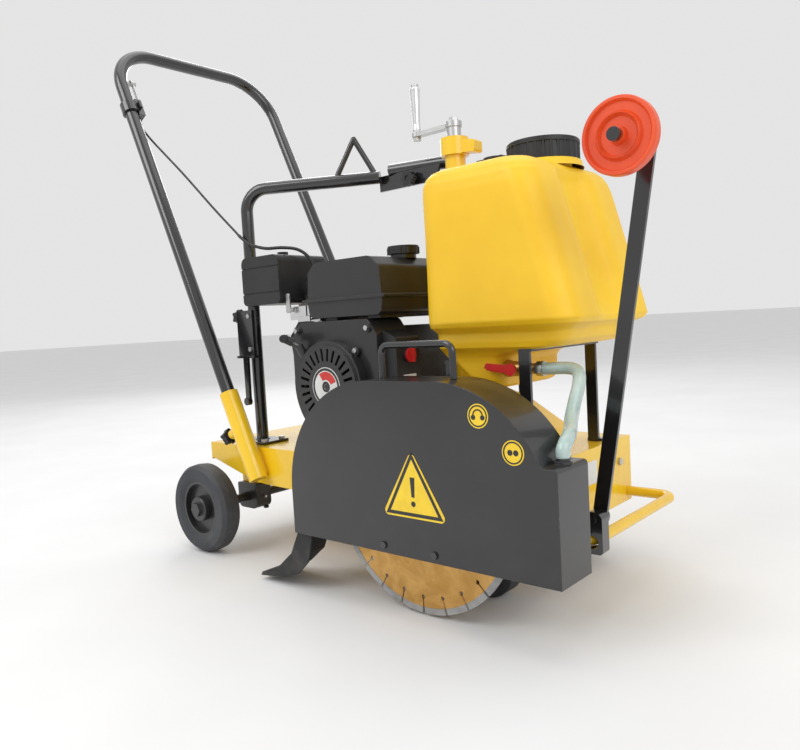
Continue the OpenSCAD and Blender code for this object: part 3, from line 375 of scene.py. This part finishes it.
# smooth curve through route points, evenly spaced
def through(route, count):
    p = np.array(route, float)
    ends = np.vstack([2 * p[0] - p[1], p, 2 * p[-1] - p[-2]])
    out = []
    for i in range(len(p) - 1):
        a, b, c, d = ends[i:i + 4]
        t = np.linspace(0, 1, 24, endpoint=False)[:, None]
        bend = 2 * b + (c - a) * t + (2 * a - 5 * b + 4 * c - d) * t ** 2
        out.append(0.5 * (bend + (3 * b - a - 3 * c + d) * t ** 3))
    line = np.vstack([*out, p[-1:]])
    run = np.r_[0, np.cumsum(np.linalg.norm(np.diff(line, axis=0), axis=1))]
    want = np.linspace(0, run[-1], count)
    return np.stack([np.interp(want, run, line[:, k]) for k in range(3)], 1)


# tube round a line; radius may be one number or one for each ring
def tube(name, line, radius, finish, sides=20):
    along = np.gradient(line, axis=0)
    along /= np.linalg.norm(along, axis=1)[:, None]
    side = np.cross(along, np.array([0.31, 0.95, 0.05]))
    side /= np.linalg.norm(side, axis=1)[:, None]
    other = np.cross(along, side)
    turn = np.linspace(0, 2 * math.pi, sides, endpoint=False)
    r = np.broadcast_to(np.asarray(radius, float), (len(line),))[:, None, None]
    spread = np.cos(turn)[None, :, None] * side[:, None] + np.sin(turn)[None, :, None] * other[:, None]
    rings = line[:, None] + r * spread
    faces = [tuple(f) for f in gridFaces(len(line), sides, True)]
    last = (len(line) - 1) * sides
    faces += [tuple(range(sides - 1, -1, -1)), tuple(range(last, last + sides))]
    return makeMesh(name, rings.reshape(-1, 3), faces, finish)


inkThick = 0.0003


# flat figure in x, z raised off a face that looks along -y
def flatFigure(name, outline, y, finish):
    o = np.array(outline, float)
    n = len(o)
    front = np.stack([o[:, 0], np.full(n, y - inkThick), o[:, 1]], 1)
    back = np.stack([o[:, 0], np.full(n, y), o[:, 1]], 1)
    caps = [tuple(range(n)), tuple(range(2 * n - 1, n - 1, -1))]
    walls = [(i, i + n, (i + 1) % n + n, (i + 1) % n) for i in range(n)]
    return makeMesh(name, np.vstack([front, back]), caps + walls, finish, smooth=False)


def ringFigure(name, centre, inner, outer, y, finish, sides=48):
    t = np.linspace(0, 2 * math.pi, sides, endpoint=False)
    rows = [(inner, y), (outer, y), (outer, y - inkThick), (inner, y - inkThick), (inner, y)]
    p = np.array([[(centre[0] + r * math.cos(a), yy, centre[1] + r * math.sin(a)) for a in t]
                  for r, yy in rows])
    return makeMesh(name, p.reshape(-1, 3), gridFaces(5, sides, True), finish, smooth=False)


# points of a circle in x, z
def circle(cx, cz, radius, count=24):
    turn = np.linspace(0, 2 * math.pi, count, endpoint=False)
    return [(cx + radius * math.cos(a), cz + radius * math.sin(a)) for a in turn]


# water tank
tankShape = dict(
    # height, back x, front x, half width, corner radius
    levels=[
        (0.3400, 0.606, 0.648, 0.080, 0.016),
        (0.3440, 0.596, 0.654, 0.093, 0.020),
        (0.3540, 0.585, 0.657, 0.099, 0.022),
        (0.3840, 0.552, 0.658, 0.101, 0.022),
        (0.3920, 0.538, 0.664, 0.103, 0.024),
        (0.4000, 0.533, 0.684, 0.108, 0.026),
        (0.4055, 0.533, 0.742, 0.116, 0.028),
        (0.4090, 0.533, 0.768, 0.122, 0.030),
        (0.4180, 0.533, 0.781, 0.125, 0.032),
        (0.4340, 0.533, 0.789, 0.127, 0.034),
        (0.4400, 0.533, 0.799, 0.139, 0.036),
        (0.4440, 0.533, 0.810, 0.149, 0.038),
        (0.4520, 0.533, 0.8145, 0.1542, 0.040),
        (0.4700, 0.533, 0.810, 0.155, 0.040),
        (0.5300, 0.533, 0.794, 0.155, 0.040),
        (0.5900, 0.533, 0.777, 0.155, 0.040),
        (0.6400, 0.533, 0.763, 0.155, 0.040),
        (0.6640, 0.533, 0.756, 0.1545, 0.040),
        (0.6800, 0.5335, 0.7500, 0.1525, 0.040),
        (0.6920, 0.5365, 0.7430, 0.1475, 0.040),
        (0.7000, 0.5425, 0.7340, 0.1405, 0.040),
        (0.7045, 0.5510, 0.7240, 0.1310, 0.036),
        (0.7058, 0.5660, 0.7100, 0.1160, 0.030),
        (0.7062, 0.6000, 0.6800, 0.0700, 0.020),
    ],
    # depth and half width of the valley, then where it starts and ends in height and how softly
    valley=0.024,
    valleyWidth=0.045,
    valleyFoot=(0.43, 0.05),
    valleyHead=(0.7055, 0.03),
    # hollow side walls: foot, height, depth, and the half width they start at
    hollow=(0.45, 0.24, 0.0022, 0.1),
    neck=(0.672, 0.038),
    boss=(0.628, -0.042),
    top=0.7045,
    # radius and height above the top
    neckProfile=[(0.069, 0), (0.0665, 0.003), (0.066, 0.010), (0.064, 0.0125), (0.057, 0.0145),
                 (0.0552, 0.016), (0.0552, 0.036), (0.0535, 0.0375), (0.049, 0.0375), (0.0488, -0.004)],
    bossProfile=[(0.0215, 0), (0.0185, 0.003), (0.018, 0.0168), (0.0001, 0.0170)],
)


# one rounded rectangle: four straights and four arcs with fixed counts, so rings line up
def tankRing(z, back, front, half, r, straight=22, arc=9):
    cx, cy = (back + front) / 2, 0.0
    hx, hy = (front - back) / 2 - r, half - r
    points = []
    for k in range(4):
        a0 = k * math.pi / 2
        sx, sy = [(1, -1), (1, 1), (-1, 1), (-1, -1)][k]
        ex, ey = [(1, 1), (-1, 1), (-1, -1), (1, -1)][k]
        outX = r if k == 0 else -r if k == 2 else 0
        outY = r if k == 1 else -r if k == 3 else 0
        start = np.array([cx + sx * hx + outX, cy + sy * hy + outY])
        end = np.array([cx + ex * hx + outX, cy + ey * hy + outY])
        t = np.linspace(0, 1, straight, endpoint=False)[:, None]
        points.append(start + (end - start) * t)
        a = a0 + np.linspace(0, math.pi / 2, arc, endpoint=False)
        corner = np.array([cx + ex * hx, cy + ey * hy])
        points.append(corner + r * np.stack([np.cos(a), np.sin(a)], 1))
    flat = np.vstack(points)
    return np.column_stack([flat, np.full(len(flat), z)])


def buildTank():
    table = np.array(tankShape["levels"])
    # more rings between the levels, on straight runs
    spans = [np.linspace(i, i + 1, 5, endpoint=False) for i in range(len(table) - 1)]
    pick = np.concatenate(spans + [[len(table) - 1]])
    rows = np.stack([np.interp(pick, np.arange(len(table)), table[:, k]) for k in range(5)], 1)
    rings = np.array([tankRing(*row) for row in rows])
    # the valley between the front shoulders, fading out at top and bottom
    z = rings[:, :, 2]
    back = rows[:, 1][:, None]
    length = (rows[:, 2] - rows[:, 1])[:, None]
    inFront = np.clip((rings[:, :, 0] - back) / length * 4 - 3, 0, 1)
    foot, footFade = tankShape["valleyFoot"]
    head, headFade = tankShape["valleyHead"]
    fade = np.clip((z - foot) / footFade, 0, 1) * np.clip((head - z) / headFade, 0, 1)
    shape = np.exp(-(rings[:, :, 1] / tankShape["valleyWidth"]) ** 4)
    rings[:, :, 0] -= tankShape["valley"] * shape * inFront * fade
    # slight hollows of moulded walls
    low, tall, deep, startY = tankShape["hollow"]
    sink = np.sin(np.clip((z - low) / tall, 0, 1) * math.pi) * deep
    rings[:, :, 1] -= np.sign(rings[:, :, 1]) * sink * (np.abs(rings[:, :, 1]) > startY)
    count = rings.shape[1]
    last = (len(rings) - 1) * count
    faces = [tuple(f) for f in gridFaces(len(rings), count, True)]
    faces += [tuple(range(count - 1, -1, -1)), tuple(range(last, last + count))]
    made = [makeMesh("tank_body", rings.reshape(-1, 3), faces, "tank")]
    necks = [("tank_neck", tankShape["neck"], tankShape["neckProfile"]),
             ("tank_boss", tankShape["boss"], tankShape["bossProfile"])]
    t = np.linspace(0, 2 * math.pi, 72, endpoint=False)
    for name, at, profile in necks:
        p = np.array([[(at[0] + r * math.cos(a), at[1] + r * math.sin(a), tankShape["top"] + h) for a in t]
                      for r, h in profile])
        made.append(makeMesh(name, p.reshape(-1, 3), gridFaces(len(profile), 72, True), "tank"))
    for obj in made:
        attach(obj, "chassis")
    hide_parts("water_tank")


buildTank()
print("tank")

# cable, hose, rope
cableRoute = [
    (-0.2181, -0.198, 0.9386), (-0.213, -0.1975, 0.9275), (-0.18, -0.194, 0.893),
    (-0.09, -0.182, 0.808), (0.0, -0.174, 0.722), (0.06, -0.1695, 0.668),
    (0.084, -0.1685, 0.648), (0.11, -0.164, 0.632), (0.145, -0.158, 0.622),
    (0.182, -0.148, 0.62), (0.212, -0.134, 0.614), (0.23, -0.122, 0.598),
    (0.238, -0.113, 0.572), (0.24, -0.11, 0.55), (0.24, -0.11, 0.5324),
]
hoseRoute = [
    (0.7285, -0.085, 0.372), (0.74, -0.085, 0.372), (0.762, -0.086, 0.373),
    (0.782, -0.092, 0.372), (0.798, -0.105, 0.366), (0.808, -0.126, 0.35),
    (0.814, -0.152, 0.328), (0.824, -0.182, 0.31), (0.838, -0.212, 0.3),
    (0.849, -0.238, 0.295), (0.853, -0.254, 0.289), (0.853, -0.262, 0.28),
    (0.853, -0.262, 0.2703),
]
jacket = dict(thin=0.0024, thick=0.0033, postX=0.075)
hoseRadius = 0.0099
ropeSpec = dict(aim=(-0.62, -0.62, 0.48), grip=(0.256, -0.201, 0.432), radius=0.0018)


def buildLines():
    line = through(cableRoute, 150)
    # thin jacket down to the post, thicker sheath from there on
    thick = np.where(line[:, 0] > jacket["postX"], jacket["thick"], jacket["thin"])
    cable = tube("cable_jacket", line, thick, "blackPlastic", 12)
    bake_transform(cable)
    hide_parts("throttle_cable")
    pipe = through(hoseRoute, 120)
    hose = tube("hose_wall", pipe, hoseRadius, "hose", 24)
    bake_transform(hose)
    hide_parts("water_hose")
    aim = np.array(ropeSpec["aim"])
    aim /= np.linalg.norm(aim)
    grip = np.array(ropeSpec["grip"])
    # the rope's inner end is out of sight in the reel housing
    s = np.linspace(0, 1, 60)[:, None]
    rope = tube("pull_rope", grip - aim * 0.013 * (1 - s), ropeSpec["radius"], "rope", 10)
    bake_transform(rope)
    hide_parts("starter_rope")


buildLines()
print("cable, hose, rope")

# printed figures; faces they lie on, along y
guardFace = -0.3034
plateFace = -0.1978
triangle = dict(half=0.055, low=0.003, high=0.1, line=0.0052)
# round stickers on a circle about the guard's middle
sticker = dict(centre=(0.67, 0.182), reach=0.164, angles=(61.4, 36.4), inner=0.0132, outer=0.0152)
headband = dict(inner=0.0066, outer=0.0086, rise=0.001, cupOut=0.0076, cupDrop=0.002, cup=0.0036)
glass = dict(out=0.0045, radius=0.004)


def guardFigure(name, outline):
    return flatFigure(name, outline, guardFace, "blackFilm")


# corners of the warning triangle, moved in by grow
def triangleCorners(x0, z0, grow):
    half, low, high = triangle["half"], triangle["low"], triangle["high"]
    return [(x0 - half + grow * 1.7, z0 + low + grow),
            (x0 + half - grow * 1.7, z0 + low + grow),
            (x0, z0 + high - grow * 2)]


def warningSign():
    x0, z0 = spindle[0] + 0.025, spindle[1] - 0.012
    outer = triangleCorners(x0, z0, 0.0)
    inner = triangleCorners(x0, z0, triangle["line"])
    p = []
    for y in (guardFace, guardFace - inkThick):
        p += [(x, y, z) for x, z in outer + inner]
    faces = []
    for i in range(3):
        j = (i + 1) % 3
        faces += [(6 + i, 6 + j, 9 + j, 9 + i), (i, j, 6 + j, 6 + i), (3 + j, 3 + i, 9 + i, 9 + j)]
    stroke = [(x0 - 0.0045, z0 + 0.062), (x0 - 0.0028, z0 + 0.032),
              (x0 + 0.0028, z0 + 0.032), (x0 + 0.0045, z0 + 0.062)]
    return [makeMesh("sign_border", p, faces, "blackFilm", smooth=False),
            guardFigure("sign_stroke", stroke),
            guardFigure("sign_dot", circle(x0, z0 + 0.022, 0.0042))]


# ear defenders on the first sticker, glasses on the second
def roundStickers():
    made = []
    for k, angle in enumerate(sticker["angles"]):
        cx = sticker["centre"][0] + sticker["reach"] * math.cos(math.radians(angle))
        cz = sticker["centre"][1] + sticker["reach"] * math.sin(math.radians(angle))
        made.append(ringFigure(f"sticker_ring_{k}", (cx, cz), sticker["inner"], sticker["outer"],
                               guardFace, "blackFilm"))
        if k == 0:
            arc = np.linspace(0.1, math.pi - 0.1, 20)
            band = []
            for r, turns in ((headband["outer"], arc), (headband["inner"], arc[::-1])):
                band += [(cx + r * math.cos(a), cz + headband["rise"] + r * math.sin(a)) for a in turns]
            made.append(guardFigure("sticker_band", band))
            for side in (-1, 1):
                cup = circle(cx + side * headband["cupOut"], cz - headband["cupDrop"], headband["cup"])
                made.append(guardFigure(f"sticker_cup_{side + 1}", cup))
        else:
            made.append(guardFigure("sticker_glass_0", circle(cx - glass["out"], cz, glass["radius"])))
            made.append(guardFigure("sticker_glass_1", circle(cx + glass["out"], cz, glass["radius"])))
    return made


def signFigures():
    for obj in warningSign() + roundStickers():
        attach(obj, "guard")
    plate = [ringFigure("plate_ring", motor, 0.030, 0.0345, plateFace, "blackFilm"),
             ringFigure("plate_rim", motor, 0.0052, 0.010, plateFace, "blackFilm")]
    wedge = []
    for r, sweep in ((0.028, 1), (0.013, -1)):
        wedge += [(motor[0] + r * math.cos(a), motor[1] + r * math.sin(a))
                  for a in np.linspace(0.35, 2.2, 24)[::sweep]]
    plate.append(flatFigure("plate_wedge", wedge, plateFace, "redFilm"))
    for obj in plate:
        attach(obj, "chassis")


signFigures()
print("figures")


# weld beads along the handle sockets and round the feet of the posts
socketWeld = dict(lean=24.7, mouth=(0.070, 0, 0.334), down=(0.136, 0.183), edge=0.0078, wall=0.2018,
                  radius=0.0020)
footWelds = [
    dict(at=(0.082, -0.150, 0.2283), loop=0.0135, finish="blackGloss", slot="black_paint"),
    dict(at=(0.500, 0.040, 0.2283), loop=0.0135, finish="blackGloss", slot="black_paint"),
    dict(at=(0.512, 0.0, 0.2283), loop=0.0198, finish="yellow", slot="yellow_paint"),
]
footWeldRadius = 0.0017


# one bead with the ripple of a hand weld
def bead(name, line, radius, finish, body):
    n = len(line)
    ripple = radius * (1 + 0.16 * np.sin(np.arange(n) * 1.3))
    obj = tube(name, line, ripple, finish, 10)
    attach(obj, body)


def buildBeads():
    lean = math.radians(socketWeld["lean"])
    up = np.array([-math.sin(lean), 0, math.cos(lean)])
    level = np.array([math.cos(lean), 0, math.sin(lean)])
    mouth = np.array(socketWeld["mouth"])
    high, low = socketWeld["down"]
    t = np.linspace(0, 1, 60)[:, None]
    for side in (-1, 1):
        for edge in (-1, 1):
            across = level * socketWeld["edge"] * edge
            out = np.array([0, side * socketWeld["wall"], 0])
            a = mouth - up * high + across + out
            b = mouth - up * low + across + out
            bead(f"socket_bead_{side + 1}{edge + 1}", a + (b - a) * t, socketWeld["radius"], "yellow",
                 "chassis")
    turn = np.linspace(0, 2 * math.pi, 90)
    for k, weld in enumerate(footWelds):
        x, y, z = weld["at"]
        r = weld["loop"]
        loop = np.stack([x + r * np.cos(turn), y + r * np.sin(turn), np.full(90, z)], 1)
        bead(f"foot_bead_{k}", loop, footWeldRadius, weld["finish"], "chassis")


buildBeads()
print("beads")

# floor and light
floorSpec = dict(size=90.0, z=-0.0005)
floorData = bpy.data.meshes.new("floor")
h, z = floorSpec["size"] / 2, floorSpec["z"]
floorData.from_pydata([(-h, -h, z), (h, -h, z), (h, h, z), (-h, h, z)], [], [(0, 1, 2, 3)])
floor = bpy.data.objects.new("floor", floorData)
bpy.context.scene.collection.objects.link(floor)
s = Shade("floor_paper")
paper = s.noise(3, 3, 0.5).step(0.2, 0.8).mix((0.74, 0.74, 0.74), (0.78, 0.78, 0.78))
floorData.materials.append(s.finish(paper, 0.8, bevel=0))

lights = [
    dict(name="key", at=(-0.6, -3.2, 3.2), aim=(0.3, 0, 0.4), size=(2.2, 2.2), watts=58),
    dict(name="front_fill", at=(3.6, -1.2, 2.2), aim=(0.4, 0, 0.4), size=(2.6, 2.0), watts=34),
    dict(name="top", at=(0.2, 0.4, 3.8), aim=(0.3, 0, 0.3), size=(3.4, 3.4), watts=36),
    dict(name="rim", at=(-2.6, 2.4, 2.6), aim=(0.2, 0, 0.6), size=(1.4, 2.2), watts=34),
]
for spec in lights:
    data = bpy.data.lights.new(spec["name"], "AREA")
    data.shape = "RECTANGLE"
    data.size, data.size_y = spec["size"]
    data.energy = spec["watts"]
    lamp = bpy.data.objects.new(spec["name"], data)
    lamp.location = spec["at"]
    aim = np.array(spec["aim"]) - np.array(spec["at"])
    tilt = math.atan2(math.hypot(aim[0], aim[1]), -aim[2])
    lamp.rotation_euler = (tilt, 0, math.atan2(aim[1], aim[0]) - math.pi / 2)
    bpy.context.scene.collection.objects.link(lamp)

world = bpy.data.worlds.new("studio")
world.use_nodes = True
worldLight = world.node_tree.nodes["Background"].inputs
worldLight["Color"].default_value = (1, 1, 1, 1)
worldLight["Strength"].default_value = 0.78
bpy.context.scene.world = world
bpy.context.scene.view_settings.view_transform = "Standard"
print("stage")
